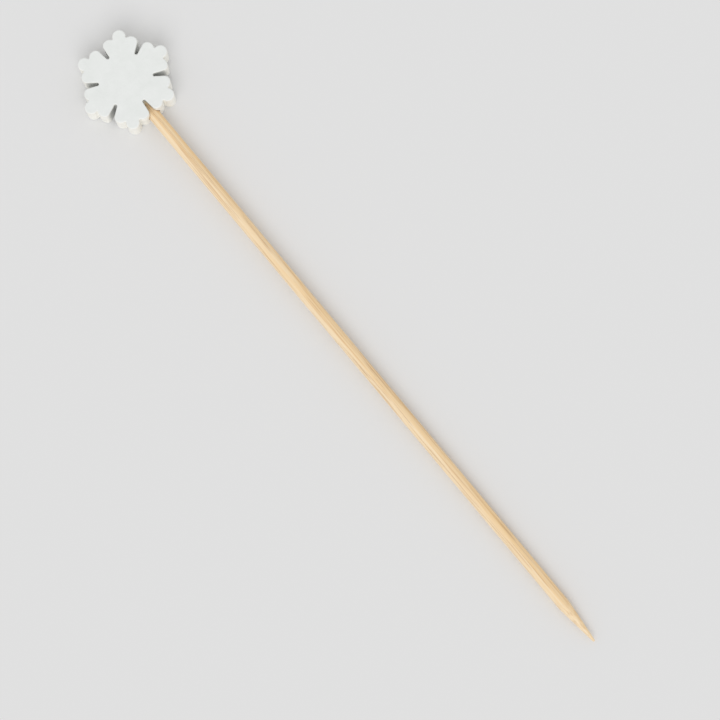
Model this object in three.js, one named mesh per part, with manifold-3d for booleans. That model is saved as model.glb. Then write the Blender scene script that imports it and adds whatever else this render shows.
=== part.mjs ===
// A snowflake cocktail pick: a thick wooden snowflake, painted white, glued on the butt of a
// round bamboo stick that is sharpened at its other end.
//
// Millimetres, +Z up. The pick lies flat. The snowflake's lower face is on z = 0 with its centre
// at the origin, and the stick runs out of one of its six slits along +X, at half its thickness.

import * as THREE from 'three';
import { mergeVertices } from 'three/addons/utils/BufferGeometryUtils.js';
import Module from 'manifold-3d';

const wasm = await Module();
wasm.setup();

// Snowflake: arms with a tip lobe between two side lobes, and between the arms a narrow slit that
// widens a little on its way out
const armCount = 6;
const flakeRadius = 10;        // centre of the snowflake to the end of a tip lobe
const flakeThickness = 5.8;
const flakeEdgeRadius = 0.25;  // tumbled edge round both faces
const tipLobeRadius = 1.3;
const shoulderRadius = 1;      // a side lobe leaves the slit in a tight arc
const shoulderTurn = THREE.MathUtils.degToRad(60);
const shoulderSetback = 1.46;  // along an arm, from the tip lobe's centre back to this arc's
const crownRadius = 1.4;       // and goes on in a wider arc round its crown
const notchRadius = 0.2;       // hollow where a side lobe meets the tip lobe
const notchReach = 0.75;       // least share of the gap between two lobes that a notch's radius is
const slitWidth = 0.6;         // at its round end
const slitTaper = THREE.MathUtils.degToRad(7);  // turn of each flank away from the slit's middle
const slitFlankLength = 2;     // straight part of a slit, from its round end to the side lobes

// Bamboo stick
const stickDiameter = 2.5;
const stickLength = 140;
const buttChamfer = 0.2;       // broken edge of the end that is glued in
const pointLength = 9;
const pointEndDiameter = 0.5;  // the sharpened end is left a little blunt

// Glued joint: a blind hole, drilled along a slit towards the snowflake's centre
const boreDepth = 4;           // round part of the hole, past the end of the slit
const drillPointAngle = THREE.MathUtils.degToRad(118);
const glueThickness = 0.15;    // between the stick and the wall of the hole
const gluePool = 0.5;          // between the stick's butt and the floor of the hole
const glueCollar = 0.5;        // glue pushed out round the stick, past the end of the slit
const seatClearance = 0.02;    // left between faces that touch on the real pick

// Facets
const arcStep = THREE.MathUtils.degToRad(20);
const edgeSteps = 3;
const roundSides = 24;
const mergeTolerance = 1e-5;

// Sizes that follow from the ones above
const halfArm = Math.PI / armCount;
const stickRadius = stickDiameter / 2;
const boreRadius = stickRadius + glueThickness;
const centre = new THREE.Vector2(0, 0);
const flankWay = slitTaper - halfArm;
const shoulderStart = flankWay - Math.PI / 2;
const crownStart = shoulderStart + shoulderTurn;
const tipLobe = new THREE.Vector2(flakeRadius - tipLobeRadius, 0);
const toShoulder = new THREE.Vector2(slitFlankLength, slitWidth / 2 + shoulderRadius)
  .rotateAround(centre, flankWay);
const roundEnd = roundEndCentre();
const shoulder = roundEnd.clone().add(toShoulder);
const crown = crownCentre();
const slitEnd = roundEnd.length() - slitWidth / 2;
const boreFloor = slitEnd - boreDepth;
const drillPoint = boreFloor - boreRadius / Math.tan(drillPointAngle / 2);
const stickButt = boreFloor + gluePool;

// The arcs of an arm are laid out in axes with x along the arm, for the side lobe on its right
// hand. The shoulder is the arc that runs out of the slit's flank. Its place along the arm puts
// the round end of the slit on the middle line between two arms.
function roundEndCentre() {
  const x = tipLobe.x - shoulderSetback - toShoulder.x;
  return new THREE.Vector2(x, -x * Math.tan(halfArm));
}

// The crown takes over where the shoulder has made its turn, in the same direction
function crownCentre() {
  const handover = new THREE.Vector2(Math.cos(crownStart), Math.sin(crownStart));
  return shoulder.clone().addScaledVector(handover, shoulderRadius - crownRadius);
}

// The notch between the crown and the tip lobe is an arc that touches both from outside. Where
// the lobes lie apart it is rounder than its own radius, so that it still reaches them.
function notchArc() {
  const apart = crown.distanceTo(tipLobe);
  const radius = Math.max(notchRadius, notchReach * (apart - crownRadius - tipLobeRadius));
  const toCrown = crownRadius + radius;
  const toTip = tipLobeRadius + radius;
  const along = (toCrown ** 2 - toTip ** 2 + apart ** 2) / (2 * apart);
  const across = Math.sqrt(toCrown ** 2 - along ** 2);
  const way = tipLobe.clone().sub(crown).normalize();
  const outward = way.clone().rotateAround(centre, -Math.PI / 2);
  const place = crown.clone().addScaledVector(way, along).addScaledVector(outward, across);
  return { place, radius };
}

function arcPoints(place, radius, from, to) {
  const steps = Math.ceil(Math.abs(to - from) / arcStep);
  return Array.from({ length: steps + 1 }, (_, i) => {
    const angle = from + (to - from) * (i / steps);
    return new THREE.Vector2(Math.cos(angle), Math.sin(angle)).multiplyScalar(radius).add(place);
  });
}

function directionTo(from, to) {
  return Math.atan2(to.y - from.y, to.x - from.x);
}

// Half an arm, from the end of the slit on its right hand, round the side lobe and the notch, to
// the end of the tip lobe
function halfArmPoints() {
  const notch = notchArc();
  const crownEnd = directionTo(crown, notch.place);
  const tipStart = directionTo(tipLobe, notch.place);
  return [
    ...arcPoints(roundEnd, slitWidth / 2, Math.PI - halfArm, Math.PI / 2 + flankWay),
    ...arcPoints(shoulder, shoulderRadius, shoulderStart, crownStart),
    ...arcPoints(crown, crownRadius, crownStart, crownEnd),
    ...arcPoints(notch.place, notch.radius, crownEnd + Math.PI, tipStart + Math.PI),
    ...arcPoints(tipLobe, tipLobeRadius, tipStart, 0),
  ];
}

function flakeOutline() {
  const rightHalf = halfArmPoints();
  const leftHalf = rightHalf.map((point) => new THREE.Vector2(point.x, -point.y)).reverse();
  const points = [];
  for (let arm = 0; arm < armCount; arm++) {
    const turn = (2 * arm + 1) * halfArm;
    for (const point of [...rightHalf, ...leftHalf]) {
      points.push(point.clone().rotateAround(centre, turn));
    }
  }
  const apart = points.filter((point, i) => point.distanceTo(points.at(i - 1)) > mergeTolerance);
  return new THREE.Shape(apart);
}

// A turned solid lying along +X. Each point of its profile is [place along X, radius].
function turned(profile) {
  const points = profile.map(([along, radius]) => new THREE.Vector2(radius, along));
  return new THREE.LatheGeometry(points, roundSides).rotateZ(-Math.PI / 2);
}

function toSolid(geometry) {
  geometry.deleteAttribute('normal');
  geometry.deleteAttribute('uv');
  const merged = mergeVertices(geometry, mergeTolerance);
  const mesh = new wasm.Mesh({
    numProp: 3,
    vertProperties: merged.attributes.position.array,
    triVerts: Uint32Array.from(merged.index.array),
  });
  return new wasm.Manifold(mesh);
}

function toGeometry(solid) {
  const mesh = solid.getMesh();
  const geometry = new THREE.BufferGeometry();
  geometry.setAttribute('position', new THREE.BufferAttribute(mesh.vertProperties, 3));
  geometry.setIndex(new THREE.BufferAttribute(mesh.triVerts, 1));
  geometry.computeVertexNormals();
  return geometry;
}

// The snowflake is a slice of a milled profile with its edges rounded, and with the stick's hole
// drilled in along the slit on +X. The drill is wider than the slit, so it also cuts a groove in
// each of the slit's flanks.
function snowflake() {
  const slice = new THREE.ExtrudeGeometry(flakeOutline(), {
    depth: flakeThickness - 2 * flakeEdgeRadius,
    bevelEnabled: true,
    bevelThickness: flakeEdgeRadius,
    bevelSize: flakeEdgeRadius,
    bevelOffset: -flakeEdgeRadius,
    bevelSegments: edgeSteps,
  }).translate(0, 0, flakeEdgeRadius);
  const drill = turned([
    [drillPoint, 0],
    [boreFloor, boreRadius],
    [2 * flakeRadius, boreRadius],
    [2 * flakeRadius, 0],
  ]).translate(0, 0, flakeThickness / 2);
  return toGeometry(toSolid(slice).subtract(toSolid(drill)));
}

// The stick, from its butt at x = 0 to its point
function stick() {
  const pointRadius = pointEndDiameter / 2;
  const coneEnd = stickLength - pointRadius;
  const roundedEnd = arcPoints(new THREE.Vector2(coneEnd, 0), pointRadius, Math.PI / 2, 0)
    .map((point) => [point.x, point.y]);
  return turned([
    [0, 0],
    [0, stickRadius - buttChamfer],
    [buttChamfer, stickRadius],
    [stickLength - pointLength, stickRadius],
    ...roundedEnd,
  ]);
}

// The set glue: a cup round the butt of the stick, which fills the hole to its drilled point and
// ends in a collar that slopes from the wall of the hole down to the stick
function glue() {
  const outer = boreRadius - seatClearance;
  const inner = stickRadius + seatClearance;
  const pointGap = seatClearance / Math.sin(drillPointAngle / 2);
  const floor = boreFloor + pointGap - seatClearance / Math.tan(drillPointAngle / 2);
  const cupFloor = stickButt - seatClearance;
  return turned([
    [drillPoint + pointGap, 0],
    [floor, outer],
    [slitEnd, outer],
    [slitEnd + glueCollar, inner],
    [cupFloor + buttChamfer, inner],
    [cupFloor, inner - buttChamfer],
    [cupFloor, 0],
  ]);
}

function material(color, roughness) {
  return new THREE.MeshStandardMaterial({ color, roughness, metalness: 0 });
}

function piece(name, geometry, finish) {
  const mesh = new THREE.Mesh(geometry, finish);
  mesh.name = name;
  return mesh;
}

const whitePaint = material(0xe8eaea, 0.6);
const bamboo = material(0xe9cb9b, 0.55);
const setGlue = material(0xeee6cf, 0.3);

const bambooStick = piece('bamboo_stick', stick(), bamboo);
bambooStick.position.x = stickButt;

const stickAxis = new THREE.Group();
stickAxis.position.z = flakeThickness / 2;
stickAxis.add(bambooStick, piece('joint_glue', glue(), setGlue));

const pick = new THREE.Group();
pick.add(piece('snowflake', snowflake(), whitePaint), stickAxis);

export default pick;
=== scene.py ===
# %% [markdown]
# # A snowflake cocktail pick
#
# A pick like this is three things: a thick wooden snowflake with a coat of white paint, a bamboo
# stick with a sharpened point, and the drop of glue that holds the stick in a drilled hole. The
# construction is already settled in a CAD model. This lesson loads that model as a fixed frame,
# models each piece again with the fine surface that the solids leave out, paints it, and lights
# it in a small studio.

# %% Load the frame
import math

import bmesh
import bpy
import numpy as np
from mathutils import Matrix, Vector


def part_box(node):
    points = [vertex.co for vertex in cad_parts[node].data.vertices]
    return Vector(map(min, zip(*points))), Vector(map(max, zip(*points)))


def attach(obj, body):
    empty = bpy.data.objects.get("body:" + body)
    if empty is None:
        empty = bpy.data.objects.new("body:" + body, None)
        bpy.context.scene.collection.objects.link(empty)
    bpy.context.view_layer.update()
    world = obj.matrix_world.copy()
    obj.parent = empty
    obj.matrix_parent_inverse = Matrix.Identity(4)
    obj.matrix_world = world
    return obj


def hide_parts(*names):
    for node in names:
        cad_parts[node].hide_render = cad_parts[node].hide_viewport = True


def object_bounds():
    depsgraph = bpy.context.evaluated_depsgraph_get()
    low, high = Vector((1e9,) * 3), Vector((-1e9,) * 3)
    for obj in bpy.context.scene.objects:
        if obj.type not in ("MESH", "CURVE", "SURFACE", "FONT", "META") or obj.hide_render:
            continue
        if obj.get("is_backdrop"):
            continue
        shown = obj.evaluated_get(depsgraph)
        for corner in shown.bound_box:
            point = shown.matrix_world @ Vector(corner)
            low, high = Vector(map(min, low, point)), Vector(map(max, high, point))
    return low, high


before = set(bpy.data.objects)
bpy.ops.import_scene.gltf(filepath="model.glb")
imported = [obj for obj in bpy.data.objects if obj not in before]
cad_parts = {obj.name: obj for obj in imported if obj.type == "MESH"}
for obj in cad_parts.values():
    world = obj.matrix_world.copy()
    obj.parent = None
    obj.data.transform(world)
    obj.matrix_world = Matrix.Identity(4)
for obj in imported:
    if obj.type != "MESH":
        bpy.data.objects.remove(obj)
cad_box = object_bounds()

print("CAD nodes:", ", ".join(sorted(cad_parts)))

# %% [markdown]
# ## Sizes
#
# Blender's lengths are metres, and this object is made of tenths of a millimetre. Bevels and
# merges have tolerances that were chosen for bigger things, so each piece is modelled with one
# unit for a millimetre and is shrunk a thousand times when it is done. The outer sizes are read
# from the frame. The ones inside an outline can't be read from a box, so they are named here.

# %% Read the outer sizes
MM = 0.001


def box_in_mm(node):
    low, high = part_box(node)
    return low / MM, high / MM


_, flake_high = box_in_mm("snowflake")
stick_low, stick_high = box_in_mm("bamboo_stick")
glue_low, glue_high = box_in_mm("joint_glue")
flake_radius = flake_high.y
flake_thickness = flake_high.z
stick_radius = stick_high.y
axis_height = (stick_low.z + stick_high.z) / 2
print(f"snowflake {2 * flake_radius:.1f} mm across and {flake_thickness:.1f} mm thick")
print(f"stick {2 * stick_radius:.1f} mm thick, its axis {axis_height:.1f} mm up")

# %% Name the sizes of the snowflake's outline
ARMS = 6
TIP_LOBE_RADIUS = 1.3
SHOULDER_RADIUS = 1
SHOULDER_TURN = math.radians(60)
SHOULDER_SETBACK = 1.46
CROWN_RADIUS = 1.4
NOTCH_RADIUS = 0.2
SLIT_WIDTH = 0.6
SLIT_TAPER = math.radians(7)
SLIT_FLANK = 2
FLAKE_EDGE_RADIUS = 0.25
half_arm = math.pi / ARMS
print(f"{ARMS} arms, parted by slits that are {SLIT_WIDTH} mm wide at their round ends")

# %% [markdown]
# ## A compass for drawing
#
# The snowflake's outline is made of arcs that run into each other without a corner. Spin is a
# compass: it sweeps the selected end of a line round a centre and leaves the new end selected, so
# one arc goes on from the last. Without a window spin turns clockwise for a positive angle. The
# helper turns that round, so that angles are anticlockwise as in geometry.

# %% Compass and ruler
ARC_STEP = math.radians(6)
MERGE_DISTANCE = 0.001
UP = (0, 0, 1)


def begin_line(place):
    """Starts a new object in edit mode with one selected vertex."""
    bpy.ops.object.select_all(action="DESELECT")
    bpy.ops.mesh.primitive_plane_add(size=1)
    bpy.ops.object.mode_set(mode="EDIT")
    bpy.ops.mesh.select_mode(type="VERT")
    bpy.ops.mesh.merge(type="CENTER")
    bpy.ops.transform.translate(value=place)
    return bpy.context.object


def line_to(place):
    mesh = bmesh.from_edit_mesh(bpy.context.object.data)
    end = next(vertex for vertex in mesh.verts if vertex.select)
    way = Vector(place) - end.co
    bpy.ops.mesh.extrude_region_move(TRANSFORM_OT_translate={"value": way})


def arc(centre, angle, axis=UP, step=ARC_STEP):
    """Sweeps the selected vertex anticlockwise about an axis through the centre."""
    steps = math.ceil(abs(angle) / step)
    bpy.ops.mesh.spin(steps=steps, angle=-angle, center=centre, axis=axis)


def merge_all():
    bpy.ops.mesh.select_all(action="SELECT")
    bpy.ops.mesh.remove_doubles(threshold=MERGE_DISTANCE)


print(f"arcs are drawn in steps of {math.degrees(ARC_STEP):.0f} degrees")

# %% [markdown]
# ## Where the arcs have their centres
#
# One arm has a round tip lobe between two side lobes, and the arms part at narrow slits that have
# round ends and widen a little on their way out. With x along the arm, half of it is: nearly a
# quarter circle at the slit's end, the slit's straight flank, a tight shoulder arc, a wider crown
# arc that takes over from it in the same direction, a small hollow arc in the notch, and the arc
# of the tip. Two arcs run into each other smoothly when the point where they meet lies in line
# with both centres. That rule gives every centre below.

# %% Work out the arc centres of one arm
def polar(radius, angle):
    return radius * Vector((math.cos(angle), math.sin(angle)))


def bearing(start, end):
    return math.atan2(end.y - start.y, end.x - start.x)


tip = Vector((flake_radius - TIP_LOBE_RADIUS, 0))
flank_way = SLIT_TAPER - half_arm
off_flank = polar(SLIT_WIDTH / 2 + SHOULDER_RADIUS, flank_way + math.pi / 2)
to_shoulder = polar(SLIT_FLANK, flank_way) + off_flank
round_end_x = tip.x - SHOULDER_SETBACK - to_shoulder.x
round_end = Vector((round_end_x, -round_end_x * math.tan(half_arm)))
shoulder = round_end + to_shoulder
shoulder_start = flank_way - math.pi / 2
crown_start = shoulder_start + SHOULDER_TURN
crown = shoulder + polar(SHOULDER_RADIUS - CROWN_RADIUS, crown_start)

to_crown = CROWN_RADIUS + NOTCH_RADIUS
to_tip = TIP_LOBE_RADIUS + NOTCH_RADIUS
apart = (tip - crown).length
along = (to_crown**2 - to_tip**2 + apart**2) / (2 * apart)
across = math.sqrt(to_crown**2 - along**2)
way = (tip - crown).normalized()
notch = crown + way * along + Vector((way.y, -way.x)) * across

slit_way = round_end.normalized()
slit_end = round_end.length - SLIT_WIDTH / 2
print(f"slits end {slit_end:.2f} mm from the centre, notches {notch.length:.2f} mm")

# %% [markdown]
# ## The snowflake
#
# The real one is sawn off a long bar that a moulding machine has milled to this profile, and
# tumbled so that its edges are soft. The model is made the same way: the profile is drawn, filled
# and extruded, and the edges round both faces are bevelled. Half an arm is drawn once. Mirrored,
# it is an arm, and a spin that duplicates puts the other five in place. A subdivision surface
# would pull the small notches open, so the roundness comes from short arc steps instead.
#
# Which edges the bevel takes is decided by a test on each. Here and later, a test for a place
# along an axis allows a tenth of a millimetre.

# %% Draw half an arm
snowflake = begin_line((*(slit_way * slit_end), 0))
arc((*round_end, 0), SLIT_TAPER - math.pi / 2)
line_to((*(shoulder + polar(SHOULDER_RADIUS, shoulder_start)), 0))
arc((*shoulder, 0), SHOULDER_TURN)
crown_end = bearing(crown, notch)
tip_start = bearing(tip, notch)
arc((*crown, 0), crown_end - crown_start)
arc((*notch, 0), tip_start - crown_end)
arc((*tip, 0), -tip_start)
snowflake.update_from_editmode()
print(f"half an arm has {len(snowflake.data.vertices)} points")

# %% Mirror it, set the other arms round the centre and give the outline its thickness
bpy.ops.mesh.select_all(action="SELECT")
bpy.ops.mesh.duplicate()
bpy.ops.transform.resize(value=(1, -1, 1), center_override=(0, 0, 0))
bpy.ops.mesh.select_all(action="SELECT")
bpy.ops.transform.rotate(value=-half_arm, orient_axis="Z", center_override=(0, 0, 0))
all_but_one = 2 * math.pi * (ARMS - 1) / ARMS
bpy.ops.mesh.spin(steps=ARMS - 1, angle=-all_but_one, dupli=True, center=(0, 0, 0), axis=UP)
merge_all()
bpy.ops.mesh.edge_face_add()
bpy.ops.mesh.extrude_region_move(TRANSFORM_OT_translate={"value": (0, 0, flake_thickness)})
bpy.ops.mesh.select_all(action="SELECT")
bpy.ops.mesh.normals_make_consistent(inside=False)
snowflake.update_from_editmode()
print(f"the whole slice has {len(snowflake.data.vertices)} points")

# %% Round the edges of both faces
EDGE_SEGMENTS = 5
NEAR = 0.1


def select_where(kind, test):
    """Selects only the vertices or edges of the open mesh that pass the test."""
    bpy.ops.mesh.select_mode(type=kind)
    bpy.ops.mesh.select_all(action="DESELECT")
    mesh = bmesh.from_edit_mesh(bpy.context.object.data)
    chosen = [item for item in {"VERT": mesh.verts, "EDGE": mesh.edges}[kind] if test(item)]
    for item in chosen:
        item.select_set(True)
    bmesh.update_edit_mesh(bpy.context.object.data)
    return len(chosen)


def is_rim(edge):
    first, second = edge.verts
    return abs(first.co.z - second.co.z) < NEAR


rim_edges = select_where("EDGE", is_rim)
bpy.ops.mesh.bevel(
    offset=FLAKE_EDGE_RADIUS, segments=EDGE_SEGMENTS, affect="EDGES", clamp_overlap=False
)
bpy.ops.object.mode_set(mode="OBJECT")
print(f"rounded {rim_edges} edges, {len(snowflake.data.polygons)} faces now")

# %% [markdown]
# ## The drilled hole
#
# The stick sits in a blind hole that is drilled along one slit towards the centre. The drill is
# wider than the slit, so on its way it cuts a groove in each flank, and those two grooves are
# what the eye catches where the stick enters. Drilling is a boolean: a cylinder with the drill's
# cone on its end is taken away from the snowflake. The modifier that does it is added, set and
# applied in one go, which leaves a plain mesh for the next step.

# %% Make the drill
BORE_RADIUS = 1.4
BORE_DEPTH = 4
DRILL_POINT_ANGLE = math.radians(118)
DRILL_SIDES = 64
bore_floor = slit_end - BORE_DEPTH
drill_point = bore_floor - BORE_RADIUS / math.tan(DRILL_POINT_ANGLE / 2)
drill_length = 2 * flake_radius - bore_floor
drill_middle = (bore_floor + drill_length / 2, 0, axis_height)


def begin_cylinder(sides, radius, length, middle, ends):
    """Starts a cylinder along X and leaves it in edit mode."""
    bpy.ops.object.select_all(action="DESELECT")
    bpy.ops.mesh.primitive_cylinder_add(
        vertices=sides,
        radius=radius,
        depth=length,
        end_fill_type=ends,
        location=middle,
        rotation=(0, math.pi / 2, 0),
    )
    bpy.ops.object.transform_apply(location=True, rotation=True, scale=True)
    bpy.ops.object.mode_set(mode="EDIT")
    return bpy.context.object


drill = begin_cylinder(DRILL_SIDES, BORE_RADIUS, drill_length, drill_middle, "NGON")
select_where("VERT", lambda vertex: vertex.co.x < bore_floor + NEAR)
bpy.ops.mesh.extrude_region_move(
    TRANSFORM_OT_translate={"value": (drill_point - bore_floor, 0, 0)}
)
bpy.ops.mesh.merge(type="CENTER")
bpy.ops.object.mode_set(mode="OBJECT")
print(f"the drill is {2 * BORE_RADIUS:.1f} mm thick")


# %% Drill the hole
def select_only(piece):
    """Selects one object, in object mode."""
    bpy.ops.object.select_all(action="DESELECT")
    piece.select_set(True)
    bpy.context.view_layer.objects.active = piece


def apply_modifier(piece, kind, **settings):
    select_only(piece)
    modifier = piece.modifiers.new(kind.lower(), kind)
    for name, value in settings.items():
        setattr(modifier, name, value)
    bpy.ops.object.modifier_apply(modifier=modifier.name)


apply_modifier(snowflake, "BOOLEAN", operation="DIFFERENCE", solver="EXACT", object=drill)
bpy.data.objects.remove(drill)
print(f"hole drilled from {slit_end:.2f} to {drill_point:.2f} mm")

# %% [markdown]
# ## Finishing a piece
#
# The flat faces have to stay flat in the light although their rim is smooth. Weighted normals do
# that: where a large face and a narrow bevel share a corner, the large face decides. Then the
# piece is shrunk to metres, put on its body, and takes the place of its CAD node.

# %% Finish the snowflake
SMOOTH_ANGLE = math.radians(35)


def smooth(piece):
    """Shades the piece smooth where its faces meet at less than the smooth angle."""
    select_only(piece)
    bpy.ops.object.shade_smooth_by_angle(angle=SMOOTH_ANGLE)
    apply_modifier(piece, "WEIGHTED_NORMAL", keep_sharp=True)


def settle(piece, name, node):
    """Shrinks the piece to metres and lets it stand for its CAD node."""
    piece.name = name
    piece.data.name = name
    piece.data.transform(Matrix.Scale(MM, 4))
    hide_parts(node)
    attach(piece, "root")
    print(f"{name}: {len(piece.data.polygons)} faces")


smooth(snowflake)
settle(snowflake, "painted_snowflake", "snowflake")

# %% [markdown]
# ## The stick
#
# Bamboo is a bundle of long fibres, and a machined stick shows them as shallow grooves that run
# for a centimetre or two. A cloud pattern pushed in along the surface gives such grooves if it is
# stretched, and the Displace modifier can't stretch one. So the tube is modelled many times too
# short, the pattern is applied, and the tube is pulled out to its length afterwards. It has no
# ends while that happens, because a lid would turn the pattern's push sideways.

# %% Model the tube short, groove it and pull it out
STICK_SIDES = 64
STICK_RINGS = 70
FIBRE_STRETCH = 40
GROOVE_DEPTH = 0.05
GROOVE_SIZE = 0.35
GROOVE_DETAIL = 2
POINT_LENGTH = 9
BUTT_CHAMFER = 0.2
tube_start = stick_low.x + BUTT_CHAMFER
tube_end = stick_high.x - POINT_LENGTH
short_length = (tube_end - tube_start) / FIBRE_STRETCH

stick = begin_cylinder(STICK_SIDES, stick_radius, short_length, (0, 0, 0), "NOTHING")
select_where("EDGE", lambda edge: abs(edge.verts[0].co.x - edge.verts[1].co.x) > NEAR)
bpy.ops.mesh.subdivide(number_cuts=STICK_RINGS)
bpy.ops.object.mode_set(mode="OBJECT")

fibres = bpy.data.textures.new("fibres", "CLOUDS")
fibres.noise_scale = GROOVE_SIZE
fibres.noise_depth = GROOVE_DETAIL
apply_modifier(
    stick,
    "DISPLACE",
    texture=fibres,
    texture_coords="LOCAL",
    mid_level=1,
    strength=GROOVE_DEPTH,
)

bpy.ops.object.mode_set(mode="EDIT")
bpy.ops.mesh.select_all(action="SELECT")
bpy.ops.transform.resize(value=(FIBRE_STRETCH, 1, 1), center_override=(0, 0, 0))
bpy.ops.transform.translate(value=((tube_start + tube_end) / 2, 0, axis_height))
stick.update_from_editmode()
radii = [math.hypot(v.co.y, v.co.z - axis_height) for v in stick.data.vertices]
print(f"stick radius {min(radii):.3f} to {max(radii):.3f} mm")

# %% [markdown]
# ## Its two ends
#
# The point is ground to a long cone and comes out a little blunt, and where the cone starts there
# is a crisp line round the stick. Each end grows from the last ring: extrude it along the stick,
# scale it towards the axis, and close it. Marking the first ring as sharp keeps the line.

# %% Grind the point and break the edge of the butt
POINT_END_RADIUS = 0.25
POINT_RINGS = 8
END_STEPS = 4


def grow_ring(length, shrink):
    """Extrudes the selected ring along the stick and scales it towards the axis."""
    bpy.ops.mesh.extrude_region_move(TRANSFORM_OT_translate={"value": (length, 0, 0)})
    bpy.ops.transform.resize(value=(1, shrink, shrink), center_override=(0, 0, axis_height))


select_where("EDGE", lambda edge: min(v.co.x for v in edge.verts) > tube_end - NEAR)
bpy.ops.mesh.mark_sharp()
cone_length = POINT_LENGTH - POINT_END_RADIUS
radius = stick_radius
for ring in range(1, POINT_RINGS + 1):
    share = ring / POINT_RINGS
    new_radius = stick_radius + (POINT_END_RADIUS - stick_radius) * share
    grow_ring(cone_length / POINT_RINGS, new_radius / radius)
    radius = new_radius
turned = 0
for step in range(1, END_STEPS):
    angle = step / END_STEPS * math.pi / 2
    new_radius = POINT_END_RADIUS * math.cos(angle)
    grow_ring(POINT_END_RADIUS * (math.sin(angle) - turned), new_radius / radius)
    radius = new_radius
    turned = math.sin(angle)
grow_ring(POINT_END_RADIUS * (1 - turned), 1)
bpy.ops.mesh.merge(type="CENTER")

select_where("EDGE", lambda edge: max(v.co.x for v in edge.verts) < tube_start + NEAR)
grow_ring(-BUTT_CHAMFER, 1 - BUTT_CHAMFER / stick_radius)
bpy.ops.mesh.edge_face_add()
bpy.ops.mesh.select_all(action="SELECT")
bpy.ops.mesh.normals_make_consistent(inside=False)
bpy.ops.object.mode_set(mode="OBJECT")

smooth(stick)
settle(stick, "sharpened_stick", "bamboo_stick")

# %% [markdown]
# ## The glue
#
# The glue fills what the stick leaves of the hole and draws up to the stick in a small hollow
# curve, as any drop does where it wets two surfaces. Inside it reaches down to the floor of the
# stick's grooves, so that none of them is left open. It is round about the stick's axis, so its
# section is drawn once and spun.

# %% Draw the section and spin it round the axis
GLUE_COLLAR = 0.5
CUP_GAP = 0.05
GLUE_SIDES = 48
HOLLOW_STEPS = 8
outer = glue_high.y
inner = stick_radius - GROOVE_DEPTH
cup_floor = stick_low.x - CUP_GAP
collar_end = slit_end + GLUE_COLLAR


def above_axis(along_axis, distance):
    return (along_axis, 0, axis_height + distance)


glue = begin_line(above_axis(glue_low.x, 0))
line_to(above_axis(bore_floor, outer))
line_to(above_axis(slit_end, outer))
rise = outer - stick_radius
hollow_radius = (GLUE_COLLAR**2 + rise**2) / (2 * rise)
hollow_angle = 2 * math.atan(rise / GLUE_COLLAR)
hollow_centre = above_axis(collar_end, stick_radius + hollow_radius)
arc(hollow_centre, -hollow_angle, axis=(0, 1, 0), step=hollow_angle / HOLLOW_STEPS)
line_to(above_axis(collar_end, inner))
line_to(above_axis(cup_floor, inner))
line_to(above_axis(cup_floor, 0))
bpy.ops.mesh.select_all(action="SELECT")
bpy.ops.mesh.spin(
    steps=GLUE_SIDES, angle=2 * math.pi, center=(0, 0, axis_height), axis=(1, 0, 0)
)
merge_all()
bpy.ops.mesh.normals_make_consistent(inside=False)
bpy.ops.object.mode_set(mode="OBJECT")
smooth(glue)
settle(glue, "set_glue", "joint_glue")

# %% [markdown]
# ## Shader maths in plain Python
#
# A finish is a small calculation: where am I on the piece, how far from the edge, which fibre is
# this. Wired by hand that is dozens of Math nodes. Here a socket is wrapped in a class whose
# operators add those nodes, so the calculation reads as an ordinary expression. Every other node
# comes from one method, which takes the node's type, its settings and what goes into its sockets.

# %% A socket that Python can calculate with
class Signal:
    """A node's output. Arithmetic on it adds Math nodes beside it."""

    def __init__(self, board, socket):
        self.board = board
        self.socket = socket

    def maths(self, operation, first, second):
        return self.board.node("ShaderNodeMath", {"operation": operation}, [first, second])

    def __add__(self, other):
        return self.maths("ADD", self, other)

    def __sub__(self, other):
        return self.maths("SUBTRACT", self, other)

    def __rsub__(self, other):
        return self.maths("SUBTRACT", other, self)

    def __mul__(self, other):
        return self.maths("MULTIPLY", self, other)

    def __truediv__(self, other):
        return self.maths("DIVIDE", self, other)

    def __pow__(self, other):
        return self.maths("POWER", self, other)

    def least(self, other):
        return self.maths("MINIMUM", self, other)

    def most(self, other):
        return self.maths("MAXIMUM", self, other)

    def swing(self, amount):
        """Values from 0 to 1 become values from minus half to plus half the amount."""
        return (self - 0.5) * amount

    __radd__ = __add__
    __rmul__ = __mul__


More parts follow.
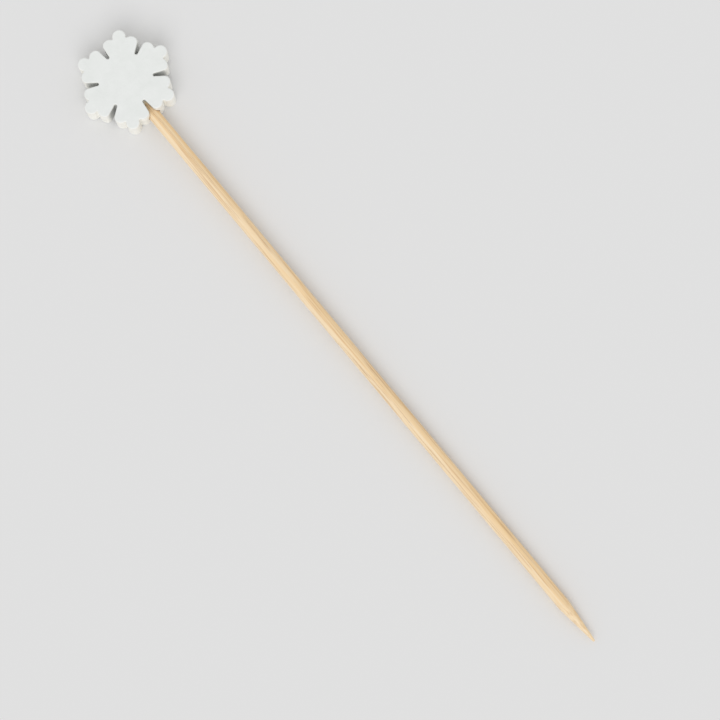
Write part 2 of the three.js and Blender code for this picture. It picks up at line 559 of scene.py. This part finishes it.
# %% A board that nodes are put on
class Board:
    """A node tree, with short names for the nodes that the finishes use."""

    def __init__(self, tree):
        self.tree = tree

    def node(self, kind, settings, sockets, output=0):
        made = self.tree.nodes.new(kind)
        for name, value in settings.items():
            setattr(made, name, value)
        pairs = sockets.items() if isinstance(sockets, dict) else enumerate(sockets)
        for key, value in pairs:
            self.feed(made.inputs[key], value)
        return Signal(self, made.outputs[output])

    def feed(self, socket, value):
        if isinstance(value, Signal):
            self.tree.links.new(value.socket, socket)
        else:
            socket.default_value = value

    def place(self, middle, stretch):
        """Object coordinates in millimetres from the middle, divided by the stretch."""
        here = self.node("ShaderNodeTexCoord", {}, {}, "Object")
        scale = [1 / (MM * length) for length in stretch]
        offset = [-there / length for there, length in zip(middle, stretch)]
        numbers = {"operation": "MULTIPLY_ADD"}
        return self.node("ShaderNodeVectorMath", numbers, [here, scale, offset])

    def split(self, vector):
        parts = self.node("ShaderNodeSeparateXYZ", {}, [vector])
        return [Signal(self, socket) for socket in parts.socket.node.outputs]

    def noise(self, place, size, detail=2, roughness=0.5):
        """Cloudy values round one half, with features of about this size in millimetres."""
        sockets = {"Vector": place, "Scale": 1 / size, "Detail": detail, "Roughness": roughness}
        return self.node("ShaderNodeTexNoise", {}, sockets)

    def step(self, value, low, high):
        """Rises smoothly from 0 at low to 1 at high. With low above high it falls."""
        soft = {"interpolation_type": "SMOOTHSTEP"}
        return self.node("ShaderNodeMapRange", soft, [value, low, high, 0, 1])

    def mix(self, share, first, second):
        """The first colour where the share is 0, the second where it is 1."""
        kind = {"data_type": "RGBA"}
        sockets = {0: share, 6: first, 7: second}
        return self.node("ShaderNodeMix", kind, sockets, 2)


def colour(red, green, blue):
    """A colour as a picture stores it, from 0 to 255, in the linear values that light adds in."""
    shares = [part / 255 for part in (red, green, blue)]
    linear = [s / 12.92 if s <= 0.04045 else ((s + 0.055) / 1.055) ** 2.4 for s in shares]
    return (*linear, 1)


def new_finish(name, **constants):
    """A material with these constants on its Principled shader, and the board to work on."""
    material = bpy.data.materials.new(name)
    material.use_nodes = True
    board = Board(material.node_tree)
    board.shader = material.node_tree.nodes["Principled BSDF"]
    for socket, value in constants.items():
        board.shader.inputs[socket.replace("_", " ")].default_value = value
    board.material = material
    return board


def finish_with(board, base, roughness, height):
    """Feeds the shader. The height is in millimetres."""
    board.feed(board.shader.inputs["Base Color"], base)
    board.feed(board.shader.inputs["Roughness"], roughness)
    bump = board.node("ShaderNodeBump", {}, {"Distance": MM, "Height": height})
    board.feed(board.shader.inputs["Normal"], bump)
    return board.material


print("shader helpers ready")

# %% [markdown]
# ## White paint
#
# The coat is thick and matt, so what shows is mostly what it has left open. The flat faces are
# sawn across the grain: faint parallel saw marks, a slight mottle and the shallow pits over the
# open ends of the wood's pores stay in the paint. The walls are milled along the grain, which
# leaves fine lines from face to face. The walls and the tumbled edges are painted a little brighter
# than the faces as painted light, and a shade warmer, partly because the coat is thinner there and
# partly as painted warm bounce light. Down in the slits the colour is darkened to a grey as painted
# shade, which fades out towards their mouths. The hole was drilled after the paint had dried, so
# inside it the wood is bare.
#
# A point's place in a slit is found once for all six. The angle about the centre is folded to
# and fro by half an arm, which makes it the angle from the nearest slit. Each fade below is two
# places in millimetres: a share is 0 at the first and 1 at the second.

# %% Say where the paint changes
slit_mouth = slit_end + SLIT_WIDTH / 2 + SLIT_FLANK
EDGE_FADE = (0.03, FLAKE_EDGE_RADIUS)
SLIT_SHADE_FADE = (0.1, 0.7)
SLIT_FADE = (0.95, 0.5)
MOUTH_FADE = (slit_mouth + 0.7, slit_mouth - 0.5)
BORE_FADE = (BORE_RADIUS + 0.04, BORE_RADIUS + 0.01)
BORE_SIDE_FADE = (-1, 0)


def flake_zones(board, place):
    """Three shares: on a wall, darkened as painted shade in a slit, and bare in the hole."""
    x, y, z = board.split(place)
    depth = z.least(flake_thickness - z)
    wall = board.step(depth, *EDGE_FADE)
    radius = (x * x + y * y) ** 0.5
    turn = y.maths("ARCTAN2", y, x)
    from_slit = radius * turn.maths("PINGPONG", turn, half_arm)
    in_slit = board.step(from_slit, *SLIT_FADE) * board.step(radius, *MOUTH_FADE)
    # Painted shade: a point in a slit is darkened once it lies a little below either face
    slit_shade = in_slit * board.step(depth, *SLIT_SHADE_FADE)
    from_axis = (y * y + (z - axis_height) * (z - axis_height)) ** 0.5
    bare = board.step(from_axis, *BORE_FADE) * board.step(x, *BORE_SIDE_FADE)
    return wall, slit_shade, bare


print(f"the slits' mouths are {slit_mouth:.2f} mm from the centre")

# %% Mix the paint
FACE_LIGHT = colour(235, 237, 235)
FACE_DARK = colour(224, 227, 224)
# The wall colours are brighter than the face colours as painted light, and warmer partly as painted
# bounce light
BRIGHTENED_WALL_LIGHT = colour(243, 242, 236)
BRIGHTENED_WALL_DARK = colour(231, 228, 220)
# A grey that is painted shade down in the slits
PAINTED_SLIT_SHADE = colour(200, 201, 198)
WOOD_LIGHT = colour(221, 196, 155)
WOOD_DARK = colour(205, 176, 130)
MOTTLE_SIZE = 2.5
SAW_PITCH = 0.45
SAW_MARK_LENGTH = 6
GRAIN_SIZE = 0.3
GRAIN_STRETCH = 25
PIT_SIZE = 0.12
PIT_RANGE = (0.56, 0.78)
PEEL_SIZE = 0.5


def white_paint():
    board = new_finish("white_paint", Specular_IOR_Level=0.35)
    place = board.place((0, 0, 0), (1, 1, 1))
    wall, slit_shade, bare = flake_zones(board, place)
    face = 1 - wall

    mottle = board.noise(place, MOTTLE_SIZE, detail=4, roughness=0.6)
    across_saw = board.place((0, 0, 0), (SAW_MARK_LENGTH, SAW_PITCH, SAW_MARK_LENGTH))
    saw = board.noise(across_saw, 1, detail=1)
    along_grain = board.place((0, 0, 0), (1, 1, GRAIN_STRETCH))
    lines = board.noise(along_grain, GRAIN_SIZE, detail=3, roughness=0.7)
    pits = board.step(board.noise(place, PIT_SIZE, detail=1), *PIT_RANGE) * face
    orange_peel = board.noise(place, PEEL_SIZE)

    # How light the coat is: cloudy all over, streaked on the walls, sawn and pitted on the faces
    tone = 0.7 + mottle.swing(1.3) + lines.swing(wall) + saw.swing(face) * 0.15 - pits * 0.4
    face_coat = board.mix(tone, FACE_DARK, FACE_LIGHT)
    # Walls and edges get the brighter colours, painted light partly warmed by a thinner coat
    brightened_wall_coat = board.mix(tone, BRIGHTENED_WALL_DARK, BRIGHTENED_WALL_LIGHT)
    # The slits' grey is painted shade
    paint = board.mix(slit_shade, board.mix(wall, face_coat, brightened_wall_coat), PAINTED_SLIT_SHADE)
    base = board.mix(bare, paint, board.mix(lines, WOOD_DARK, WOOD_LIGHT))
    roughness = 0.52 + mottle.swing(0.2) + bare * 0.2
    height = saw * face * 0.003 + lines * wall * 0.02 + orange_peel * 0.015 - pits * 0.01
    return finish_with(board, base, roughness, height)


def coat(piece, material):
    """Gives the piece this material and no other."""
    piece.data.materials.clear()
    piece.data.materials.append(material)
    print(f"{material.name} on {piece.name}")


coat(snowflake, white_paint())

# %% [markdown]
# ## Bamboo
#
# Bamboo is hard dark fibre bundles in a pale ground, with thin pores between them that were cut
# open along their length. A stick is cut out of the cane's wall: on the side that was near the
# skin the bundles are close together and golden, on the side that was near the hollow they are
# few and the ground is creamy. The pattern is a solid one, with coordinates that are stretched
# along the stick, so that where the point is ground it shows the fibres cut through, as the real
# one does. The fresh cut is paler, so the brown is held back from where the cone starts.

# %% Lay the fibres
CREAM = colour(243, 222, 189)
GOLD = colour(237, 200, 145)
BUNDLE = colour(192, 144, 90)
SKIN_SIDE = math.radians(20)
BUNDLE_RANGE = (0.6, 0.68)
PORE_RANGE = (0.7, 0.76)
POINT_FADE = (tube_end - 0.5, tube_end + 1)
STICK_MIDDLE = (0, 0, axis_height)


def fibre_noise(board, stretch, size, middle=STICK_MIDDLE, **settings):
    """Noise drawn out along the stick. Another middle gives another pattern."""
    return board.noise(board.place(middle, (stretch, 1, 1)), size, **settings)


def bamboo():
    board = new_finish("bamboo_fibres", Specular_IOR_Level=0.4)
    x, y, z = board.split(board.place(STICK_MIDDLE, (1, 1, 1)))
    toward_skin = y * math.cos(SKIN_SIDE) + z * math.sin(SKIN_SIDE)
    skin = 0.5 + toward_skin / (2 * stick_radius)
    on_point = board.step(x, *POINT_FADE)

    slow = fibre_noise(board, stretch=17.5, size=2)
    bands = fibre_noise(board, stretch=40, size=0.7)
    strands = fibre_noise(board, stretch=60, size=0.22, roughness=0.6)
    hairs = fibre_noise(board, stretch=25, size=0.09, detail=1)
    bundles = fibre_noise(board, stretch=60, size=0.26, middle=(7, 3, 5), detail=1)
    vessels = fibre_noise(board, stretch=90, size=0.11, middle=(1, 8, 2), detail=0)
    dark = board.step(bundles + skin * 0.06, *BUNDLE_RANGE)
    pores = board.step(vessels, *PORE_RANGE)

    # The gold grows towards the skin and comes and goes in bands
    gold_share = -0.17 + skin * 0.85 + bands.swing(0.8) + slow.swing(0.7)
    ground = board.mix(gold_share + strands.swing(1.6), CREAM, GOLD)
    threaded = board.mix((hairs - 0.45) * 0.9, ground, GOLD)
    brown = (dark * 0.4).most(pores * 0.7) * (1 - on_point * 0.45)
    base = board.mix(brown, threaded, BUNDLE)
    roughness = 0.48 + strands.swing(0.4)
    height = hairs * 0.012 + strands * 0.03 + bands * 0.02 - dark * 0.012 - pores * 0.02
    return finish_with(board, base, roughness, height)


coat(stick, bamboo())

# %% [markdown]
# ## Glue
#
# Wood glue dries to a creamy, slightly glossy skin that is a little uneven.

# %% Let the glue set
GLUE_LIGHT = colour(243, 234, 210)
GLUE_DARK = colour(224, 208, 170)
GLUE_CLOUD_SIZE = 0.6


def set_glue():
    board = new_finish("set_wood_glue", Specular_IOR_Level=0.5)
    cloud = board.noise(board.place((0, 0, 0), (1, 1, 1)), GLUE_CLOUD_SIZE)
    base = board.mix(cloud, GLUE_DARK, GLUE_LIGHT)
    return finish_with(board, base, 0.25 + cloud * 0.1, cloud * 0.02)


coat(glue, set_glue())

# %% [markdown]
# ## The floor
#
# The stick is longer and heavier than the snowflake can balance, so a real pick that lies on a
# table leans until its point touches too. The part's own frame is level with the snowflake, and a
# piece can't be moved against the frame. So the floor does the leaning: it is the plane that
# touches the snowflake's lower rim and the underside of the point. In the section along the stick
# that is the steepest line through a point of the tip that still stays under the snowflake.

# %% Tip a large plane so that the pick rests on it
FLOOR_SIZE = 6000 * MM
FLOOR_GAP = 0.02 * MM


def section_points(piece, test):
    """Places of the vertices that pass the test, as rows of x and z in metres."""
    return np.array([(v.co.x, v.co.z) for v in piece.data.vertices if test(v.co)])


rim = section_points(snowflake, lambda place: place.x > 0 and place.z < axis_height * MM)
ground_tip = section_points(stick, lambda place: place.x > tube_end * MM)
slope, touch = min(
    (max((point[1] - rim[:, 1]) / (point[0] - rim[:, 0])), tuple(point)) for point in ground_tip
)
lean = math.atan(slope)
bpy.ops.object.select_all(action="DESELECT")
bpy.ops.mesh.primitive_plane_add(
    size=FLOOR_SIZE, location=(touch[0], 0, touch[1] - FLOOR_GAP), rotation=(0, -lean, 0)
)
floor = bpy.context.object
floor.name = "floor"
floor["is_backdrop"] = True
print(f"the pick leans {math.degrees(lean):.2f} degrees")

# %% [markdown]
# ## Light and background
#
# Product light is soft and plain: a broad lamp and, above all, an even glow from all round.
# Together they are set so that a colour renders about as it is written. A white snowflake would
# be lost on a white floor, so the floor and what lies behind it are a pale grey. The floor has
# two tones. The one that is seen sends back as much light as the world gives off, so that the two
# meet without a line. The one that lights the pick is nearly white, as a white table would be,
# and it is what keeps the walls bright on the side that the lamp doesn't reach.

# %% Set up the studio
AMBIENT = 0.75
SUN_SHARE = 0.24
BOUNCED_TONE = 0.92
SEEN_TONE = AMBIENT / (AMBIENT + SUN_SHARE)


def grey(tone):
    return (tone, tone, tone, 1)


def light_path(board, output):
    """1 for rays of the kind that the output names, otherwise 0."""
    return board.node("ShaderNodeLightPath", {}, {}, output)


floor_board = new_finish("floor_pale", Roughness=0.9, Specular_IOR_Level=0)
camera_ray = light_path(floor_board, "Is Camera Ray")
glossy_ray = light_path(floor_board, "Is Glossy Ray")
through_ray = light_path(floor_board, "Is Transmission Ray")
seen = camera_ray.most(glossy_ray).most(through_ray)
floor_tone = floor_board.mix(seen, grey(BOUNCED_TONE), grey(SEEN_TONE))
floor_board.feed(floor_board.shader.inputs["Base Color"], floor_tone)
floor.data.materials.append(floor_board.material)

world = bpy.data.worlds.new("studio")
bpy.context.scene.world = world
world.use_nodes = True
background = world.node_tree.nodes["Background"]
background.inputs["Color"].default_value = grey(1)
background.inputs["Strength"].default_value = AMBIENT
print(f"the floor is seen as {SEEN_TONE:.2f} and bounces {BOUNCED_TONE:.2f} of the light")

# %% [markdown]
# ## Camera
#
# The photograph looks down on the pick, which lies up and to the left of the photograph's middle
# and leans a little away. So the snowflake shows the walls on the side of the stick, most of all
# those at the bottom of the picture. Here the pick stays as its frame has it, and the camera does
# the leaning: it stands over the place from which the same strips of wall are seen.
#
# Two places can be read off the photograph exactly, the middle of the snowflake's upper face and
# the point. Where the camera stands, the lines of sight to them enclose one angle. Only one lens
# sets that angle to their distance in the picture, and only one turn of the camera then puts both
# on their pixels.

# %% Read two places off the photograph and choose where the camera stands
HEAD_PIXEL = Vector((187.1, 262.3))
POINT_PIXEL = Vector((467, 598))
CAMERA_PIXEL = Vector((334, 598))
CAMERA_HEIGHT = 475

head = Vector((0, 0, flake_thickness)) * MM
point = Vector((stick_high.x, 0, axis_height)) * MM
on_photo = POINT_PIXEL - HEAD_PIXEL
mm_per_pixel = stick_high.x / on_photo.length
turn = math.atan2(on_photo.y, on_photo.x)
image_right = Vector((math.cos(turn), math.sin(turn), 0))
image_up = Vector((-math.sin(turn), math.cos(turn), 0))
to_right, down = (CAMERA_PIXEL - HEAD_PIXEL) * mm_per_pixel
camera_place = (image_right * to_right - image_up * down + Vector((0, 0, CAMERA_HEIGHT))) * MM
print(f"one pixel of the photograph is {mm_per_pixel:.3f} mm")

# %% Find the lens: the angle between two sights has to fit the distance between two pixels
FRAME_MIDDLE = Vector((327, 430))
FRAME_WIDTH = 430

sights = [(place - camera_place).normalized() for place in (head, point)]
spots = [pixel - FRAME_MIDDLE for pixel in (HEAD_PIXEL, POINT_PIXEL)]
cosine = sights[0].dot(sights[1])
between = spots[0].dot(spots[1])
first, second = (spot.length_squared for spot in spots)

# The rays through the two pixels enclose that angle when the square of the focal length, in
# pixels, solves a * square**2 + b * square + c = 0
a = 1 - cosine**2
b = 2 * between - cosine**2 * (first + second)
c = between**2 - cosine**2 * first * second
focal_length = math.sqrt((-b + math.sqrt(b * b - 4 * a * c)) / (2 * a))
camera_data = bpy.data.cameras.new("camera")
camera_data.lens = camera_data.sensor_width * focal_length / FRAME_WIDTH
print(f"lens {camera_data.lens:.0f} mm")


# %% Turn the camera until both sights fall on their pixels
def axes_of(first, second):
    """Three axes at right angles, built on two directions."""
    across = first.cross(second).normalized()
    return Matrix((first, across, first.cross(across))).transposed()


rays = [Vector((spot.x, -spot.y, -focal_length)).normalized() for spot in spots]
rotation = axes_of(*sights) @ axes_of(*rays).transposed()
camera = bpy.data.objects.new("camera", camera_data)
camera.matrix_world = Matrix.Translation(camera_place) @ rotation.to_4x4()
bpy.context.scene.collection.objects.link(camera)
bpy.context.scene.camera = camera
print(f"camera {camera_place.length / MM:.0f} mm from the snowflake")

# %% Hang the lamp beyond the picture's lower edge, where the walls are brightly lit
SUN_ANGLE = math.radians(45)
LAMP_OUT = 0.8
lamp_way = (Vector((0, 0, 1)) - LAMP_OUT * image_up).normalized()
sun_data = bpy.data.lights.new("broad_lamp", "SUN")
sun_data.angle = SUN_ANGLE
sun_data.energy = SUN_SHARE * math.pi / lamp_way.z
sun = bpy.data.objects.new("broad_lamp", sun_data)
sun.rotation_mode = "QUATERNION"
sun.rotation_quaternion = lamp_way.to_track_quat("Z", "Y")
bpy.context.scene.collection.objects.link(sun)
bpy.context.scene.view_settings.view_transform = "Standard"
print(f"lamp {math.degrees(math.asin(lamp_way.z)):.0f} degrees up")

# %% [markdown]
# ## The sizes of both boxes
#
# The fine pieces have to fill the same space as the solids they stand for. The sizes of both
# boxes are printed, one after the other.

# %% Print both boxes and finish
visual_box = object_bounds()
sizes = {"cad": [list(corner) for corner in cad_box], "visual": [list(corner) for corner in visual_box]}
for name, (low, high) in sizes.items():
    print(name, [round((b - a) / MM, 2) for a, b in zip(low, high)], "mm")
